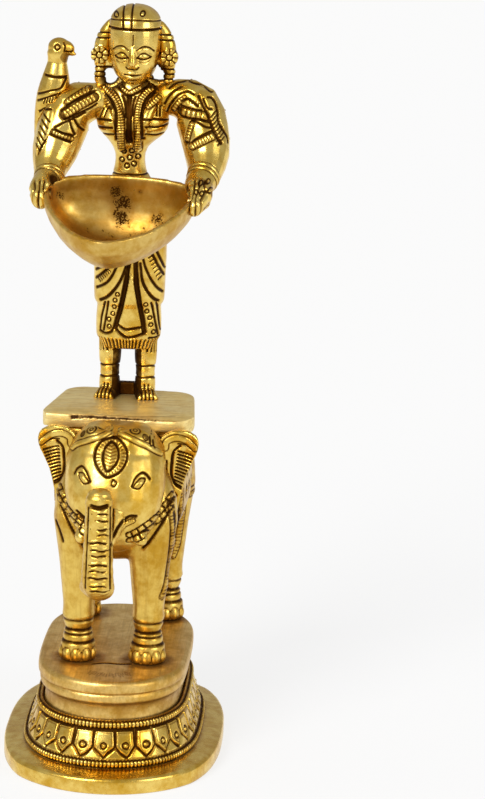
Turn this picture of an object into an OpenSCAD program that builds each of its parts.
// Deepalakshmi oil lamp in cast brass. A standing figure with a parrot on one
// arm holds an open oil bowl, on a slab on the back of an elephant, on an oval
// lotus base. Sizes are in millimetres, +Z is up and the front faces -Y.
// Left and right are those of the figure and the elephant themselves.

/* [Base] */
// Width of the oval foot plate
base_w = 57.4; // [54:0.2:66]
// Straight run between the rounded ends of the foot, band and deck
oval_run = 28.6; // [26:0.2:34]
// Height of the plain edge of the foot plate
plate_h = 4.4; // [3:0.2:7]
// Width of the lotus band at its foot
band_w = 44.4; // [42:0.2:48]
// Width of the lotus band at its top
band_top_w = 38.6; // [38:0.2:41]
// Height of the sloping lotus band
band_h = 7; // [5:0.5:10]
// Radius of the two bead mouldings
bead_r = 1.05; // [0.6:0.05:1.4]
// Number of lotus petals round the band
petals = 34; // [22:2:44]
// How far a petal stands out of the band
petal_t = 0.6; // [0.3:0.1:1.2]
// Thickness of the cast wall of the hollow base
wall = 3.2; // [2.4:0.2:5]

/* [Deck] */
// Width of the neck under the deck
neck_w = 36; // [34.6:0.2:37.4]
// Height of the neck
neck_h = 8; // [6:0.5:12]
// Wall round the recess under the neck
neck_wall = 3; // [2:0.2:5]
// Width of the deck plate
deck_w = 39.6; // [39.2:0.2:46]
// Thickness of the deck plate's edge
deck_t = 3.6; // [2.6:0.2:6]

/* [Elephant] */
// Height from the soles to the flat of the back
eleph_h = 60; // [52:1:70]
// Width of the barrel of the body
body_w = 34; // [30:0.5:38]
// Height of the barrel of the body
body_h = 36; // [30:1:40]
// Length of the barrel, chest to rump
body_l = 55; // [48:1:62]
// Middle of the barrel behind the middle of the base
body_y = 6; // [3:0.5:9]
// Distance between the two front legs
leg_track = 18.2; // [17:0.2:19]
// Distance between the two rear legs
rear_track = 22.4; // [19:0.2:22.8]
// Distance between front and rear legs
leg_base = 38; // [35:0.5:38.5]
// Radius of a leg at the knee
leg_r = 4.2; // [3.4:0.1:5]
// Radius of a foot
foot_r = 4.7; // [4:0.1:5.6]
// Radius of a leg where it runs into the body
thigh_r = 7; // [6:0.2:8.4]
// Width of the head
skull_w = 26; // [22:0.5:30]
// Height of the head, jaw to crown
skull_h = 32; // [27:0.5:36]
// Depth of the head
skull_d = 24; // [20:0.5:28]
// Middle of the head ahead of the middle of the base
skull_y = 18.5; // [16:0.5:22]
// Rise of the crown above the flat of the back
crown_rise = 3.6; // [1:0.2:4.2]
// Thickness of an ear
ear_t = 1.8; // [1.2:0.1:2.6]
// Reach of an ear out from the head
ear_out = 7.8; // [6:0.2:11]
// Height of an ear
ear_h = 25; // [20:0.5:28]
// Radius of the trunk at its root
trunk_r = 5.4; // [4.4:0.1:6.4]
// Radius of the trunk at its tip
trunk_tip_r = 3.3; // [2.6:0.1:4.2]
// Distance between the falling and the rising limb of the trunk
trunk_fold = 8.2; // [7.8:0.2:11]
// Swing of the rising limb to the elephant's right
trunk_sway = 2.4; // [0:0.2:3]
// Height of the trunk's lower bend above the deck
trunk_low = 29.5; // [26:0.5:36]
// Height of the trunk's tip above the deck
trunk_high = 54; // [46:0.5:58]
// Length of the tail
tail_l = 22; // [16:0.5:28]

/* [Saddle] */
// Width of the saddle slab
slab_w = 40; // [34:0.5:46]
// Width of the saddle slab at the back
slab_back_w = 35; // [32:0.5:42]
// Depth of the saddle slab
slab_d = 28; // [24:0.5:34]
// Thickness of the saddle slab
slab_t = 4.3; // [3.6:0.1:6]
// Middle of the slab behind the middle of the base
slab_y = 6; // [3:0.5:9]
// Turn of the slab on the back in degrees
slab_turn = 3; // [0:0.5:4]
// Corner radius of the slab at the back
slab_r = 6; // [3:0.5:9]
// Thickness of the saddle cloth on the flanks
cloth_t = 0.8; // [0.4:0.1:1.4]

/* [Figure] */
// Figure's upright axis behind the middle of the base
figure_y = 12.5; // [10:0.5:14]
// Height of the hem above the slab
hem_z = 13.5; // [11:0.5:16]
// Height of the lower edge of the drape
drape_z = 25.6; // [23.6:0.2:29]
// Height of the hips
hip_z = 42; // [39:0.5:46]
// Height of the joint between skirt and torso
girdle_z = 57; // [54:0.5:58.5]
// Height of the waist
waist_z = 63.4; // [62:0.2:65]
// Height of the bust
bust_z = 73; // [71:0.5:75]
// Height of the shoulders
shoulder_z = 82; // [80:0.5:83]
// Rise of the left shoulder, and fall of the right, from that height
shoulder_tip = 0.9; // [0:0.1:1.2]
// Height of the chin
chin_z = 83.4; // [82.6:0.2:85]
// Height of the top of the head
head_top_z = 104.4; // [101:0.2:108]
// Width of the skirt at its hem
hem_w = 15.4; // [13:0.2:18]
// Width of the lower skirt
skirt_w = 17; // [15:0.2:19]
// Width of the drape and the hips
hip_w = 19; // [18:0.2:22]
// Width of the waist
waist_w = 8.8; // [7.6:0.2:11]
// Width of the bust
bust_w = 18; // [16:0.2:20]
// Distance between the legs' axes
stance = 9.4; // [8.4:0.2:10]
// Radius of a leg at the ankle
ankle_r = 2.7; // [2.2:0.1:3.2]
// Width of a foot
sole_w = 6.2; // [5:0.2:7.4]
// Outward turn of each foot in degrees
foot_turn = 14; // [0:1:24]
// Length of a foot
sole_l = 9; // [7.6:0.2:11]
// Width of the head
head_w = 13.6; // [12:0.2:15]
// Depth of the head
head_d = 13.8; // [12:0.2:15]
// Radius of the neck
neck_r = 3.2; // [2.6:0.1:3.8]
// Radius of an upper arm at the sleeve
sleeve_r = 6.8; // [5.6:0.1:7.2]
// Radius of a wrist
wrist_r = 3.8; // [3:0.1:4.4]
// Elbow's distance out from the figure's axis
elbow_out = 19.8; // [19.2:0.2:21.4]
// Radius of the plait down the back
plait_r = 1.9; // [1.4:0.1:2.6]

/* [Bowl] */
// Width across the bowl's rim
bowl_w = 40.6; // [38:0.2:43]
// Rim behind the widest line
bowl_back = 9; // [8:0.5:10]
// Rim in front of the widest line, to the pointed lip
bowl_front = 28; // [22:0.5:34]
// Depth of the bowl
bowl_deep = 16.6; // [13:0.2:18]
// Thickness of the bowl's wall
bowl_wall = 1.6; // [1.2:0.1:2.4]
// Forward tip of the bowl in degrees
bowl_tilt = 14; // [6:1:18]
// Turn of the bowl and the hands to the figure's right in degrees
bowl_turn = 5; // [0:1:7]
// Widest line of the bowl ahead of the figure's axis
bowl_reach = 18; // [17:0.5:20]
// Height of the rim at the widest line above the slab
rim_z = 58.8; // [57:0.2:60]

/* [Parrot] */
// Height of the parrot's head above the slab
parrot_z = 92.6; // [90:0.2:95]
// Radius of the parrot's head
parrot_head_r = 2.9; // [2.4:0.1:3.3]
// Radius of the parrot's breast
parrot_r = 4.3; // [3.6:0.1:5]
// Length of the parrot from its head to its tail tip
parrot_l = 29; // [25:0.5:33]

/* [Joints] */
// Radius of the deck screw
deck_screw_r = 2.5; // [2:0.1:3]
// Radius of a foot screw
foot_screw_r = 1.25; // [1:0.05:1.5]
// Radius of a saddle dowel
saddle_dowel_r = 1.5; // [1:0.1:2]
// Radius of a dowel in the figure's legs
leg_dowel_r = 1.1; // [0.8:0.1:1.4]
// Radius of the dowel at the waist
waist_dowel_r = 1.5; // [1:0.1:2]
// Radius of a pin in a shoulder
shoulder_pin_r = 0.9; // [0.6:0.1:1.2]
// Radius of a rivet through the bowl's wall
rivet_r = 0.7; // [0.5:0.05:1]
// Clearance round a pin, a screw or a spigot
fit = 0.06; // [0.04:0.01:0.15]

/* [Hidden] */
$fn = 64;

brass = [0.80, 0.62, 0.25];
dark_brass = [0.62, 0.46, 0.18];

band_z = plate_h + 2 * bead_r;
band_top_z = band_z + band_h;
plinth_z = band_top_z + 2 * bead_r;
deck_z = plinth_z + neck_h + deck_t;
roof_z = deck_z - deck_t - 0.4;
recess_r = neck_w / 2 - neck_wall;
register_h = 1.6;
web_z = band_z + 3.5;
screw_head_h = 1.5;

seat_z = deck_z + eleph_h;
top_z = seat_z + slab_t;
barrel_z = eleph_h + 1.4 - body_h / 2;
leg_mid_y = body_y - 1.5;
function leg_x(y) = (y < 0 ? leg_track : rear_track) / 2;
chest_y = body_y - body_l / 2;
rump_y = body_y + body_l / 2;
skull_z = eleph_h + crown_rise - skull_h;
foot_screw_in = 2.2;

// Smooth curve through a list of stations, t counted in stations
function between(s, t) =
  let (n = len(s) - 1)
  let (i = min(floor(t), n - 1))
  let (f = t - i)
  let (a = s[max(i - 1, 0)], b = s[i], c = s[i + 1], d = s[min(i + 2, n)])
  0.5 * (2 * b + (c - a) * f + (2 * a - 5 * b + 4 * c - d) * f * f
    + (3 * b - a - 3 * c + d) * f * f * f);

function refine(s, k) = [for (i = [0 : (len(s) - 1) * k]) between(s, i / k)];

// Closed outline round a centre; p = 2 is an ellipse and a larger p is squarer
function outline(c, u, v, ru, rv, n, p = 2) = [for (i = [0 : n - 1])
  let (a = 360 * i / n)
  c + u * ru * sign(cos(a)) * pow(abs(cos(a)), 2 / p)
    + v * rv * sign(sin(a)) * pow(abs(sin(a)), 2 / p)];

function unit(v) = v / norm(v);

function heading(q, i) =
  unit(q[min(i + 1, len(q) - 1)] - q[max(i - 1, 0)]);

function place(s) = [s[0], s[1], s[2]];

// Skin over a list of outlines that all have the same number of points
module skin(rings) {
  n = len(rings[0]);
  m = len(rings);
  walls = [for (j = [0 : m - 2], i = [0 : n - 1])
    let (a = j * n + i, b = j * n + (i + 1) % n)
    each [[a, a + n, b], [b, a + n, b + n]]];
  floor_face = [for (i = [0 : n - 1]) i];
  roof_face = [for (i = [n - 1 : -1 : 0]) (m - 1) * n + i];
  polyhedron([for (r = rings) each r], concat(walls, [floor_face, roof_face]), convexity = 8);
}

// Upright form from sections [height, half width, half depth, forward]
module upright(sections, k = 2, n = 24, p = 2) {
  skin([for (s = refine(sections, k))
    outline([0, -s[3], s[0]], [1, 0, 0], [0, 1, 0], s[1], s[2], n, p)]);
}

// Limb along stations [x, y, z, radius across, radius along side], with round ends
module limb(stations, side, k = 2, n = 16, dome = true) {
  q = refine(stations, k);
  c = [for (s = q) place(s)];
  last = len(q) - 1;
  caps = dome ? [82, 55, 28] : [];
  first_ring = [for (a = caps)
    limb_ring(c[0] - heading(c, 0) * q[0][3] * sin(a), heading(c, 0), side,
      q[0][3] * cos(a), q[0][4] * cos(a), n)];
  rings = [for (i = [0 : last])
    limb_ring(c[i], heading(c, i), side, q[i][3], q[i][4], n)];
  last_ring = [for (j = [len(caps) - 1 : -1 : 0])
    limb_ring(c[last] + heading(c, last) * q[last][3] * sin(caps[j]), heading(c, last), side,
      q[last][3] * cos(caps[j]), q[last][4] * cos(caps[j]), n)];
  skin(concat(first_ring, rings, last_ring));
}

function limb_ring(c, t, side, ru, rv, n) =
  let (u = unit(side - t * (side * t)))
  let (v = cross(t, u))
  outline(c, u, v, ru, rv, n);

// Oval body whose edge has the given [radius, height] profile
module oval(profile) {
  for (s = [0, 180])
    rotate([0, 0, s])
      translate([0, oval_run / 2, 0])
        rotate_extrude(angle = 180)
          polygon(profile);
  rotate([90, 0, 0])
    linear_extrude(height = oval_run, center = true)
      union() {
        polygon(profile);
        mirror([1, 0])
          polygon(profile);
      }
}

module oval_bead(r, z) {
  for (s = [0, 180])
    rotate([0, 0, s]) {
      translate([0, oval_run / 2, 0])
        rotate_extrude(angle = 180)
          translate([r, z])
            circle(r = bead_r);
      translate([r, 0, z])
        rotate([90, 0, 0])
          cylinder(r = bead_r, h = oval_run, center = true);
    }
}

// Stands its children on the band's slope at a distance d round the oval
module on_band(d, r, tilt) {
  arc = PI * r;
  lap = 2 * (arc + oval_run);
  e = d % lap;
  half = e < arc + oval_run ? 0 : 1;
  f = e - half * (arc + oval_run);
  rotate([0, 0, half * 180])
    if (f < oval_run)
      translate([r, f - oval_run / 2, (band_z + band_top_z) / 2])
        rotate([0, -tilt, 0])
          children();
    else
      translate([0, oval_run / 2, 0])
        rotate([0, 0, (f - oval_run) / r * 180 / PI])
          translate([r, 0, (band_z + band_top_z) / 2])
            rotate([0, -tilt, 0])
              children();
}

// One petal, square above and pointed below, with a boss near its point
module petal(w, h) {
  rotate([90, 0, 90])
    translate([0, 0, -0.7]) {
      linear_extrude(height = 0.7 + petal_t)
        polygon([[-w * 0.42, h * 0.46], [w * 0.42, h * 0.46], [w * 0.47, -h * 0.12],
          [0, -h * 0.46], [-w * 0.47, -h * 0.12]]);
      translate([0, -h * 0.08, 0])
        cylinder(r = w * 0.12, h = 1.0 + petal_t, $fn = 24);
    }
}

module plinth() {
  r_mid = (band_w + band_top_w) / 4;
  rise = (band_w - band_top_w) / 2;
  tilt = atan2(rise, band_h);
  lap = 2 * (PI * r_mid + oval_run);
  pitch = lap / petals;
  color(brass)
    difference() {
      union() {
        oval([[0, 0], [base_w / 2 - 0.6, 0], [base_w / 2, 0.6], [base_w / 2, plate_h - 1],
          [base_w / 2 - 1, plate_h], [band_w / 2 + 0.4, plate_h], [band_w / 2, band_z],
          [band_top_w / 2, band_top_z], [band_top_w / 2 - 0.2, plinth_z], [0, plinth_z]]);
        oval_bead(band_w / 2 + 0.3, plate_h + bead_r);
        oval_bead(band_top_w / 2 - 0.3, band_top_z + bead_r);
        oval([[0, plinth_z - 1], [recess_r - fit, plinth_z - 1],
          [recess_r - fit, plinth_z + register_h], [0, plinth_z + register_h]]);
        for (i = [0 : petals - 1])
          on_band((i + 0.5) * pitch + oval_run / 2, r_mid, tilt)
            petal(pitch, norm([rise, band_h]));
      }
      oval([[0, -1], [base_w / 2 - wall - 3, -1], [base_w / 2 - wall - 3, plate_h - 2],
        [band_w / 2 - wall, plate_h], [band_top_w / 2 - wall, web_z], [0, web_z]]);
      cylinder(r = deck_screw_r + 3 * fit, h = 60, center = true);
    }
}

module deck() {
  r_top = deck_w / 2;
  color(brass)
    difference() {
      oval([[0, plinth_z], [neck_w / 2, plinth_z], [neck_w / 2 - 0.5, plinth_z + neck_h * 0.5],
        [neck_w / 2, plinth_z + neck_h], [r_top - 0.7, plinth_z + neck_h],
        [r_top, plinth_z + neck_h + 0.8], [r_top, deck_z - 0.9], [r_top - 0.8, deck_z],
        [0, deck_z]]);
      oval([[0, plinth_z - 1], [recess_r, plinth_z - 1], [recess_r, plinth_z + register_h + fit],
        [0, plinth_z + register_h + fit]]);
      cylinder(r = deck_screw_r + fit, h = 2 * roof_z, center = true);
      at_foot_screws() {
        cylinder(r = foot_screw_r + 3 * fit, h = 60, center = true);
        translate([0, 0, roof_z - deck_z - neck_h - 4])
          cylinder(r = 2 * foot_screw_r + 0.2, h = neck_h + 4);
      }
    }
}

module deck_screw() {
  color(dark_brass)
    union() {
      translate([0, 0, web_z - 1.2])
        cylinder(r = deck_screw_r, h = roof_z - web_z + 0.8);
      translate([0, 0, web_z - 1.2 - 2.6])
        difference() {
          cylinder(r = 1.8 * deck_screw_r, h = 2.6);
          translate([0, 0, 0])
            cube([6 * deck_screw_r, 0.9, 2], center = true);
        }
    }
}

module deck_washer() {
  color(brass)
    translate([0, 0, web_z - 1.2])
      difference() {
        cylinder(r = 2.2 * deck_screw_r, h = 1.2);
        cylinder(r = deck_screw_r + 3 * fit, h = 6, center = true);
      }
}

// Stands its children on the deck at each foot's screw
module at_foot_screws() {
  for (x = [-1, 1], y = [-1, 1])
    translate([x * (leg_x(y) - 0.7), leg_mid_y + y * (leg_base / 2 - foot_screw_in), deck_z])
      children();
}

module foot_screws() {
  color(dark_brass)
    at_foot_screws()
      translate([0, 0, roof_z - deck_z])
        union() {
          cylinder(r = foot_screw_r, h = deck_z - roof_z + 8);
          translate([0, 0, -screw_head_h])
            difference() {
              cylinder(r = 2 * foot_screw_r, h = screw_head_h);
              cube([6 * foot_screw_r, 0.6, 1.4], center = true);
            }
        }
}

// Barrel of the elephant from chest to rump: [place along, width, height, lift]
barrel_shape = [[-1, 0.2, 0.2, -2], [-0.96, 0.44, 0.45, -2], [-0.82, 0.74, 0.76, -1.6],
  [-0.5, 0.93, 0.95, -0.6], [0, 1, 1, 0], [0.45, 0.98, 0.98, 0], [0.78, 0.8, 0.84, 0.4],
  [0.95, 0.48, 0.54, 0.8], [1, 0.22, 0.24, 1]];

function barrel_ring(s, grow) =
  outline([0, body_y + s[0] * body_l / 2, deck_z + barrel_z + s[3]], [-1, 0, 0], [0, 0, 1],
    s[1] * body_w / 2 + grow, s[2] * body_h / 2 + grow, 28, 2.25);

module barrel() {
  difference() {
    skin([for (s = refine(barrel_shape, 2)) barrel_ring(s, 0)]);
    translate([0, body_y, seat_z + 10])
      cube([2 * body_w, 2 * body_l, 20], center = true);
  }
}

// Cloth that hangs over both flanks below the slab
module cloth() {
  shape = [for (t = [3 : 0.5 : 5.5]) between(barrel_shape, t)];
  difference() {
    skin([for (s = shape) barrel_ring(s, cloth_t)]);
    translate([0, body_y, seat_z + 10])
      cube([2 * body_w, 2 * body_l, 20], center = true);
    translate([0, body_y, deck_z + barrel_z - body_h * 0.22 - 20])
      cube([2 * body_w, 2 * body_l, 40], center = true);
  }
}

// Pad that carries the slab on the round of the back
module pad() {
  pad_w = slab_w * 0.74;
  translate([0, slab_y, seat_z - 7])
    linear_extrude(height = 7)
      rounded(pad_w, pad_w, slab_d * 0.8, 3, 3);
}

// Plate with its own width and corner radius at the front and at the back
module rounded(w, back_w, d, front, back) {
  a = [w / 2 - front, -d / 2 + front];
  b = [back_w / 2 - back, d / 2 - back];
  run = norm(b - a);
  lean = atan2(b[1] - a[1], b[0] - a[0]) - acos((front - back) / run);
  side = [cos(lean), sin(lean)];
  p = a + front * side;
  q = b + back * side;
  union() {
    for (x = [-1, 1]) {
      translate([x * a[0], a[1]])
        circle(r = front);
      translate([x * b[0], b[1]])
        circle(r = back);
    }
    polygon([[-a[0], -d / 2], [a[0], -d / 2], p, q, [b[0], d / 2], [-b[0], d / 2],
      [-q[0], q[1]], [-p[0], p[1]]]);
  }
}

// Leg with a toed foot and two anklets
module leg() {
  rotate_extrude()
    polygon([[0, 0], [foot_r, 0], [foot_r, 2.8], [leg_r + 0.2, 5.4], [leg_r, 6],
      [leg_r + 0.5, 6.3], [leg_r + 0.5, 8.5], [leg_r, 8.8], [leg_r, 9.2], [leg_r + 0.5, 9.5],
      [leg_r + 0.5, 11.6], [leg_r, 12], [leg_r - 0.1, 15], [leg_r + 1.2, barrel_z - 16],
      [thigh_r, barrel_z - 5], [thigh_r - 0.4, barrel_z + 1], [thigh_r - 3, barrel_z + 8],
      [0, barrel_z + 11]]);
}

module elephant_form() {
  barrel();
  cloth();
  pad();
  at_legs()
    leg();
}

module at_legs() {
  for (x = [-1, 1], y = [-1, 1])
    translate([x * leg_x(y), leg_mid_y + y * leg_base / 2, deck_z])
      children();
}

module elephant_body() {
  color(brass)
    difference() {
      elephant_form();
      at_foot_screws()
        translate([0, 0, -1])
          cylinder(r = foot_screw_r + fit, h = 10);
      at_saddle_dowels()
        cylinder(r = saddle_dowel_r + fit, h = 14, center = true);
    }
}

skull_shape = [[0, 0.2, 0.2, 0.1], [0.05, 0.46, 0.42, 0.1], [0.17, 0.74, 0.7, 0.09],
  [0.38, 0.95, 0.94, 0.05], [0.6, 1, 1, -0.02], [0.8, 0.95, 0.9, -0.1],
  [0.93, 0.74, 0.66, -0.16], [0.985, 0.44, 0.38, -0.19], [1, 0.2, 0.18, -0.2]];

module skull() {
  translate([0, -skull_y, deck_z + skull_z])
    upright([for (s = skull_shape)
      [s[0] * skull_h, s[1] * skull_w / 2, s[2] * skull_d / 2, s[3] * skull_d]], 2, 26, 2.15);
}

// Short tusk stub at each side of the mouth
module tusks() {
  for (x = [-1, 1])
    translate([x * skull_w * 0.27, -skull_y - skull_d * 0.3, deck_z + skull_z + skull_h * 0.2])
      rotate([118, 0, x * 14])
        translate([0, 0, -6]) {
          cylinder(r = 2, h = 8.5, $fn = 24);
          translate([0, 0, 8.5])
            sphere(r = 2, $fn = 24);
        }
}

// Leaf-shaped plate over each dome of the crown
module crown_plates() {
  z = deck_z + skull_z + skull_h;
  y = -skull_y + skull_d * 0.05;
  for (s = [0, 1])
    mirror([s, 0, 0])
      limb([[1.2, y - skull_d * 0.18, z - skull_h * 0.04, 1, 1],
        [skull_w * 0.15, y - skull_d * 0.2, z - skull_h * 0.07, 1.6, 4],
        [skull_w * 0.32, y - skull_d * 0.16, z - skull_h * 0.15, 1.6, 4],
        [skull_w * 0.46, y - skull_d * 0.06, z - skull_h * 0.27, 1, 1.6]],
        [0, -0.7, 0.7], 2, 14);
}

module elephant_head() {
  color(brass)
    difference() {
      union() {
        skull();
        crown_plates();
        tusks();
      }
      elephant_form();
      slab_block();
    }
}

trunk_back_y = -skull_y - skull_d * 0.45;
trunk_front_y = trunk_back_y - trunk_fold;
trunk_root_z = skull_z + skull_h * 0.45;

// Trunk falls from the face, turns at the bottom and rises with its tip up
trunk_line = concat(
  [[0, -skull_y - 1, trunk_root_z + 6, trunk_r * 1.5, trunk_r],
    [0, trunk_back_y + 4.4, trunk_root_z + 1.5, trunk_r * 1.3, trunk_r * 0.95],
    [-trunk_sway * 0.1, trunk_back_y + 1.2, (trunk_root_z * 2 + trunk_low) / 3, trunk_r, trunk_r * 0.85],
    [-trunk_sway * 0.4, trunk_back_y + 0.1, (trunk_root_z + trunk_low * 2) / 3, trunk_r * 0.84,
      trunk_r * 0.74]],
  [for (a = [0 : 36 : 180])
    [-trunk_sway * (0.6 + a / 450), (trunk_back_y + trunk_front_y) / 2 + trunk_fold / 2 * cos(a),
      trunk_low - trunk_fold / 2 * sin(a) * 1.1, trunk_r * 0.78, trunk_fold * 0.46]],
  [[-trunk_sway, trunk_front_y, (trunk_low * 2 + trunk_high) / 3, trunk_r * 0.72, trunk_tip_r],
    [-trunk_sway, trunk_front_y, (trunk_low + trunk_high * 2) / 3, trunk_tip_r * 1.08,
      trunk_tip_r * 0.95],
    [-trunk_sway, trunk_front_y + 0.3, trunk_high - 1.6, trunk_tip_r, trunk_tip_r * 0.85]]);

// Folds of the skin ring the trunk all the way along
module trunk() {
  folds = refine(trunk_line, 5);
  color(brass)
    difference() {
      translate([0, 0, deck_z])
        limb([for (i = [0 : len(folds) - 1])
          let (s = folds[i], r = 1 - 0.055 * (i % 2))
          [s[0], s[1], s[2], s[3] * r, s[4] * r]], [1, 0, 0], 1, 16);
      skull();
      tusks();
      elephant_form();
    }
}

// Outline of an ear from its lobe upward: [height, inner edge, outer edge]
ear_shape = [[0, 0.24, 0.36], [0.04, 0.16, 0.44], [0.14, 0.06, 0.5], [0.32, 0, 0.58],
  [0.55, 0, 0.72], [0.76, 0, 0.94], [0.88, 0, 1], [0.96, 0.1, 0.92], [1, 0.3, 0.68]];

// The leaf of the ear is hollow towards the front and curls forward at its edge
function ear_ring(s, m) =
  let (z = s[0] * ear_h)
  concat(
    [for (i = [0 : m]) ear_point(s[1] + (s[2] - s[1]) * i / m, z, 0)],
    [for (i = [m : -1 : 0]) ear_point(s[1] + (s[2] - s[1]) * i / m, z, ear_t)]);

function ear_point(w, z, t) =
  [-2.5 + w * (ear_out + 2.5), -2.2 * pow(w, 4) + 3.4 * w + 1.3 * sin(180 * w) + t, z];

module ear() {
  translate([skull_w / 2, -skull_y + skull_d * 0.18, deck_z + skull_z + skull_h * 0.93 - ear_h])
    skin([for (s = refine(ear_shape, 2)) ear_ring(s, 6)]);
}

// Ear cut to the head and the shoulder behind it; side 0 is left and 1 is right
module seated_ear(side) {
  difference() {
    mirror([side, 0, 0])
      ear();
    skull();
    crown_plates();
    elephant_form();
    slab_block();
  }
}

module elephant_ear_left() {
  color(brass)
    seated_ear(0);
}

module elephant_ear_right() {
  color(brass)
    seated_ear(1);
}

module tail() {
  y = rump_y;
  z = deck_z + barrel_z;
  color(brass)
    difference() {
      limb([[0, y - 5, z + 9, 1.7, 1.7], [0, y - 0.5, z + 7, 1.6, 1.6],
        [0, y + 0.9, z + 2, 1.4, 1.4], [0, y + 0.6, z + 9 - tail_l * 0.7, 1.3, 1.3],
        [0, y + 0.2, z + 9 - tail_l * 0.85, 1.9, 1.6], [0, y + 0.2, z + 9 - tail_l, 1, 1]],
        [1, 0, 0], 2, 12);
      barrel();
    }
}

module at_saddle_dowels() {
  for (y = [-0.28, 0.28])
    translate([0, slab_y + y * slab_d, seat_z])
      children();
}

module saddle_dowels() {
  color(dark_brass)
    at_saddle_dowels()
      translate([0, 0, -6])
        cylinder(r = saddle_dowel_r, h = 6 + slab_t * 0.6);
}

module slab_block() {
  translate([0, slab_y, seat_z])
    rotate([0, 0, -slab_turn])
      linear_extrude(height = slab_t)
        rounded(slab_w, slab_back_w, slab_d, 1.5, slab_r);
}

module saddle_slab() {
  color(brass)
    difference() {
      slab_block();
      at_saddle_dowels()
        cylinder(r = saddle_dowel_r + fit, h = 2 * (slab_t * 0.6 + fit), center = true);
      at_leg_dowels()
        cylinder(r = leg_dowel_r + fit, h = 2 * (slab_t * 0.6 + fit), center = true);
    }
}

module on_slab() {
  translate([0, figure_y, top_z])
    children();
}

module at_leg_dowels() {
  for (x = [-1, 1])
    translate([x * stance / 2, figure_y, top_z])
      children();
}

module leg_dowels() {
  color(dark_brass)
    at_leg_dowels()
      translate([0, 0, -slab_t * 0.6])
        cylinder(r = leg_dowel_r, h = slab_t * 0.6 + 6);
}

skirt_shape = [[hem_z, hem_w / 2 - 0.6, 5.2, 0], [hem_z + 2, hem_w / 2, 5.8, 0],
  [hem_z + 3.2, skirt_w / 2, 6.2, 0], [drape_z - 4, skirt_w / 2 + 0.1, 6.3, 0],
  [drape_z - 0.6, skirt_w / 2 - 0.1, 6.2, 0], [drape_z + 0.6, hip_w / 2 - 0.3, 6.9, 0],
  [drape_z + 7, hip_w / 2 - 0.1, 7, 0], [hip_z, hip_w / 2, 7, 0],
  [(hip_z + girdle_z) / 2 + 1, hip_w * 0.42, 6.2, 0], [girdle_z, waist_w / 2 + 1.6, 5, 0]];

module skirt() {
  color(brass)
    on_slab()
      difference() {
        union() {
          upright(skirt_shape, 2, 32, 2.2);
          for (x = [-1, 1])
            translate([x * stance / 2, 0, 0]) {
              cylinder(r1 = ankle_r, r2 = ankle_r + 0.4, h = hem_z + 4, $fn = 32);
              rotate([0, 0, x * foot_turn])
                sole();
            }
          translate([-stance / 2, 0.5, 0])
            cube([stance, 2.2, 3.4]);
        }
        for (x = [-1, 1])
          translate([x * stance / 2, 0, 0])
            cylinder(r = leg_dowel_r + fit, h = 12.2, center = true);
        translate([0, 0, girdle_z])
          cylinder(r = waist_dowel_r + fit, h = 10.2, center = true);
      }
}

// Foot from heel to toes, flat under the sole
module sole() {
  shape = [[-0.42, 0.5, 0.9], [-0.36, 0.72, 1], [-0.15, 0.85, 1], [0.2, 0.95, 0.8],
    [0.45, 1, 0.55], [0.54, 0.92, 0.4], [0.58, 0.6, 0.2]];
  difference() {
    skin([for (s = refine(shape, 2))
      outline([0, -s[0] * sole_l, 0], [1, 0, 0], [0, 0, 1], s[1] * sole_w / 2, s[2] * 4.2, 16)]);
    translate([0, 0, -10])
      cube([20, 30, 20], center = true);
  }
}

torso_shape = [[girdle_z, waist_w / 2 + 1.6, 5, 0], [waist_z - 2, waist_w / 2 + 0.3, 4.4, 0],
  [waist_z + 1.5, waist_w / 2 + 0.1, 4.4, 0.1], [bust_z - 5, bust_w * 0.34, 4.9, 0.6],
  [bust_z - 1, bust_w / 2 - 0.2, 6.2, 1.2], [bust_z + 2.5, bust_w / 2, 5.8, 0.9],
  [shoulder_z - 3, bust_w / 2 + 0.2, 5, 0.2], [shoulder_z - 0.8, bust_w * 0.45, 4.2, 0],
  [shoulder_z + 0.6, neck_r + 1.8, neck_r + 0.4, 0], [shoulder_z + 2, neck_r, neck_r, 0.2],
  [chin_z + 3.2, neck_r, neck_r, 0.5]];

module torso_form() {
  on_slab()
    upright(torso_shape, 2, 32, 2.15);
}

// Two corded garlands that run from the shoulders down the front
module garlands() {
  on_slab()
    for (s = [0, 1])
      mirror([s, 0, 0])
        limb([[7.6, -1.5, shoulder_z - 0.5, 1.1, 1.1], [5.8, -4.4, shoulder_z - 2.5, 1.1, 1.1],
          [3.6, -6.4, bust_z + 2.5, 1.1, 1.1], [2.4, -7.1, bust_z - 1.5, 1.05, 1.05],
          [2.1, -5.6, bust_z - 5.5, 1, 1], [2, -4.7, waist_z + 3, 0.9, 0.9]],
          [0, 1, 0], 2, 10);
}

module torso() {
  color(brass)
    difference() {
      union() {
        torso_form();
        garlands();
      }
      translate([0, figure_y, top_z + girdle_z])
        cylinder(r = waist_dowel_r + fit, h = 10.2, center = true);
      at_shoulder_pins()
        cylinder(r = shoulder_pin_r + fit, h = 8);
    }
}

module waist_dowel() {
  color(dark_brass)
    translate([0, figure_y, top_z + girdle_z - 5])
      cylinder(r = waist_dowel_r, h = 10);
}

face_shape = [[0, 0.22, 0.26, 0.1], [0.04, 0.46, 0.5, 0.1], [0.12, 0.7, 0.74, 0.09],
  [0.25, 0.87, 0.88, 0.06], [0.42, 0.97, 0.97, 0.03], [0.6, 1, 1, 0], [0.78, 0.95, 0.95, -0.02],
  [0.89, 0.8, 0.81, -0.03], [0.96, 0.55, 0.55, -0.03], [0.99, 0.32, 0.32, -0.03],
  [1, 0.14, 0.14, -0.03]];

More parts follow.
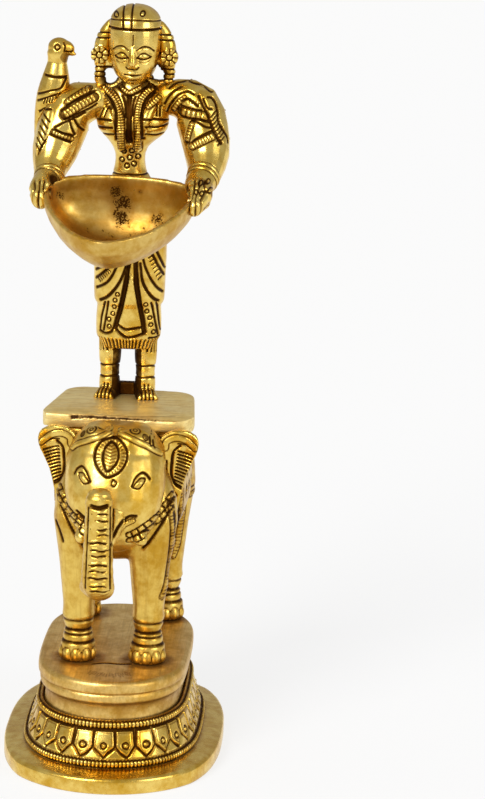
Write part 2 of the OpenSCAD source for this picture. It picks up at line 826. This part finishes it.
module head_form() {
  on_slab()
    union() {
      upright([for (s = face_shape)
        [chin_z + s[0] * (head_top_z - chin_z), s[1] * head_w / 2, s[2] * head_d / 2,
          1.2 + s[3] * head_d]], 2, 26, 2.1);
      nose();
    }
}

module nose() {
  z = chin_z + 0.3 * (head_top_z - chin_z);
  y = -1.2 - head_d * 0.5;
  limb([[0, y + 0.5, z + 4.6, 0.5, 0.5], [0, y + 0.1, z + 2.4, 0.7, 0.6],
    [0, y - 0.2, z + 0.6, 1.1, 0.8]], [1, 0, 0], 2, 10);
}

module head() {
  color(brass)
    difference() {
      head_form();
      torso_form();
    }
}

module plait() {
  color(brass)
    difference() {
      on_slab()
        limb([[0, 4, chin_z + 9, plait_r + 1.2, plait_r + 0.4],
          [0, head_d * 0.42, chin_z + 4, plait_r + 0.5, plait_r],
          [0, 5.2, shoulder_z - 2, plait_r, plait_r], [0, 5, bust_z - 3, plait_r, plait_r],
          [0, 4.6, waist_z, plait_r, plait_r], [0, 6.4, hip_z + 6, plait_r, plait_r],
          [0, 7.2, hip_z + 1, plait_r + 0.5, plait_r]], [1, 0, 0], 2, 12);
      head_form();
      torso_form();
      on_slab()
        upright(skirt_shape, 2, 32, 2.2);
    }
}

// Ear with its large stud and the loop that falls to the shoulder
module ear_ornament_form() {
  h = head_top_z - chin_z;
  x = head_w / 2;
  on_slab()
    union() {
      limb([[x - 0.8, -0.4, chin_z + h * 0.7, 1.5, 1.8],
        [x + 1, -0.4, chin_z + h * 0.55, 1.9, 2.2], [x + 1.8, -0.4, chin_z + h * 0.36, 2.1, 2.2],
        [x + 2.1, -0.6, chin_z + h * 0.19, 1.3, 1.5], [x + 1.9, -0.4, chin_z + 0.6, 1.2, 1.4],
        [x + 1.5, 0, shoulder_z - 1.5, 1.2, 1.4]], [0, 1, 0], 2, 14);
      translate([x + 2.2, -1, chin_z + h * 0.34])
        rotate([90, 0, 0])
          cylinder(r = 2.3, h = 1.9, $fn = 32);
    }
}

module ear_ornament(side) {
  difference() {
    mirror([side, 0, 0])
      ear_ornament_form();
    head_form();
    torso_form();
    garlands();
    arm_form(1 - 2 * side);
  }
}

module ear_ornament_left() {
  color(brass)
    ear_ornament(0);
}

module ear_ornament_right() {
  color(brass)
    ear_ornament(1);
}

// Arm from inside the shoulder, out to the elbow and forward to the rim; the last number
// of a station is how far it has turned with the bowl
hand_x = bowl_w / 2 - 0.2;
arm_line = [[bust_w * 0.34, 0.4, shoulder_z - 3.6, 3.8, 3.6, 0],
  [bust_w * 0.61, 0.2, shoulder_z - 3.2, 5.4, 5, 0],
  [elbow_out * 0.81, -0.6, shoulder_z - 5, sleeve_r, sleeve_r * 0.95, 0],
  [elbow_out - 1.4, -2.6, (shoulder_z + rim_z) / 2 + 1, sleeve_r, sleeve_r * 0.96, 0.1],
  [elbow_out, -bowl_reach * 0.32, rim_z + 6.8, sleeve_r * 0.9, sleeve_r * 0.86, 0.3],
  [elbow_out + 0.2, -bowl_reach * 0.56, rim_z + 3, wrist_r * 1.22, wrist_r * 1.15, 0.6],
  [hand_x - 0.6, -bowl_reach * 0.78, rim_z + 0.8, wrist_r, wrist_r, 0.9],
  [hand_x + 0.2, -bowl_reach - 0.6, rim_z - 1.2, wrist_r * 0.98, wrist_r * 0.86, 1],
  [hand_x - 0.2, -bowl_reach - 3.6, rim_z - 2.8, wrist_r * 0.74, wrist_r * 0.62, 1]];

// Side 1 is the figure's left and side -1 the right
module arm_form(side) {
  on_slab()
    limb([for (s = arm_line)
      let (x = side * s[0], a = -bowl_turn * s[5])
      [x * cos(a) - s[1] * sin(a), x * sin(a) + s[1] * cos(a),
        s[2] + side * shoulder_tip * (1 - s[5]) * (s[0] > bust_w * 0.5 ? 1 : 0.3), s[3], s[4]]],
      [0, -1, 0.2], 2, 18);
}

module arm(side) {
  difference() {
    arm_form(side);
    torso_form();
    garlands();
    bowl_solid();
    at_shoulder_pins()
      cylinder(r = shoulder_pin_r + fit, h = 8);
    at_rivets()
      cylinder(r = rivet_r + fit, h = 4.2);
  }
}

module arm_left() {
  color(brass)
    arm(1);
}

module arm_right() {
  color(brass)
    arm(-1);
}

// Pins run along X from inside the torso into each arm
module at_shoulder_pins() {
  for (s = [0, 1])
    mirror([s, 0, 0])
      translate([bust_w / 2 - 4, figure_y, top_z + shoulder_z - 3.4])
        rotate([0, 90, 0])
          children();
}

module shoulder_pins() {
  color(dark_brass)
    at_shoulder_pins()
      translate([0, 0, 0.1])
        cylinder(r = shoulder_pin_r, h = 7.8);
}

// Rim of the bowl, round behind and drawn to a lip in front
function bowl_ring(w, b, f, z, n) = [for (i = [0 : n - 1])
  let (a = 360 * i / n)
  let (c = cos(a), s = sin(a))
  let (q = s < 0 ? 1.26 : 0.94)
  [w * sign(c) * pow(abs(c), q), (s < 0 ? f * -pow(-s, q) : b * pow(s, q)), z]];

function bowl_wall_rings(inset, steps) = [for (t = steps)
  let (k = pow(sin(t), 1.02))
  bowl_ring((bowl_w / 2 - inset) * k, (bowl_back - inset) * k, (bowl_front - inset) * k,
    -(bowl_deep - inset) * cos(t), 36)];

bowl_steps = [6, 16, 28, 40, 52, 64, 76, 90];

// The bowl and the hands have turned together about the figure's axis
module at_hands() {
  translate([0, figure_y, top_z + rim_z])
    rotate([0, 0, -bowl_turn])
      translate([0, -bowl_reach, 0])
        children();
}

module on_rim() {
  at_hands()
    rotate([bowl_tilt, 0, 0])
      children();
}

module bowl_solid() {
  on_rim()
    skin(bowl_wall_rings(0, bowl_steps));
}

module bowl() {
  inside = [for (i = [len(bowl_steps) - 1 : -1 : 0]) bowl_steps[i]];
  color(brass)
    difference() {
      on_rim()
        skin(concat(bowl_wall_rings(0, bowl_steps), bowl_wall_rings(bowl_wall, inside)));
      at_rivets()
        translate([0, 0, -3])
          cylinder(r = rivet_r + fit, h = 6);
    }
}

// Rivets lie along X, through the wall under the rim and into the hand
module at_rivets() {
  at_hands()
    for (s = [0, 1])
      mirror([s, 0, 0])
        translate([bowl_w / 2 - 1.2, 0, -2.4])
          rotate([0, 90, 0])
            children();
}

module bowl_rivets() {
  color(dark_brass)
    difference() {
      at_rivets()
        union() {
          translate([0, 0, -1.4])
            cylinder(r = rivet_r, h = 5.4);
          translate([0, 0, -1.4])
            cylinder(r = 2 * rivet_r, h = 0.9);
        }
      difference() {
        on_rim()
          skin(concat(bowl_wall_rings(0, bowl_steps),
            bowl_wall_rings(bowl_wall, [for (i = [len(bowl_steps) - 1 : -1 : 0]) bowl_steps[i]])));
        at_rivets()
          translate([0, 0, -3])
            cylinder(r = rivet_r + fit, h = 6);
      }
    }
}

// Parrot that clings to the right upper arm, its head turned to the face
module parrot_form() {
  x = -elbow_out * 0.97;
  z = parrot_z;
  on_slab()
    union() {
      limb([[x - 0.5, -1, z - 0.2, parrot_head_r * 0.9, parrot_head_r * 0.9],
        [x - 0.6, -1, z - 1.8, parrot_head_r, parrot_head_r * 0.95],
        [x - 0.8, -0.9, z - parrot_l * 0.15, parrot_head_r * 0.88, parrot_head_r * 0.88],
        [x - 1.1, -1, z - parrot_l * 0.3, parrot_r * 0.84, parrot_r * 0.9],
        [x - 1.7, -1, z - parrot_l * 0.46, parrot_r, parrot_r],
        [x - 2.9, -0.8, z - parrot_l * 0.64, parrot_r * 0.86, parrot_r * 0.8],
        [x - 4.4, 0, z - parrot_l * 0.84, parrot_r * 0.52, parrot_r * 0.4],
        [x - 5.4, 0.6, z - parrot_l * 0.98, parrot_r * 0.26, parrot_r * 0.2]], [1, 0, 0], 2, 18);
      translate([x + parrot_head_r * 0.4, -1.2, z - 0.8])
        rotate([0, 112, 0])
          cylinder(r1 = 1.5, r2 = 0.35, h = 3.1, $fn = 20);
    }
}

module parrot() {
  color(brass)
    difference() {
      parrot_form();
      arm_form(-1);
    }
}

plinth();
deck();
deck_screw();
deck_washer();
elephant_body();
elephant_head();
trunk();
elephant_ear_left();
elephant_ear_right();
tail();
foot_screws();
saddle_slab();
saddle_dowels();
skirt();
leg_dowels();
torso();
waist_dowel();
head();
plait();
ear_ornament_left();
ear_ornament_right();
arm_left();
arm_right();
shoulder_pins();
bowl();
bowl_rivets();
parrot();
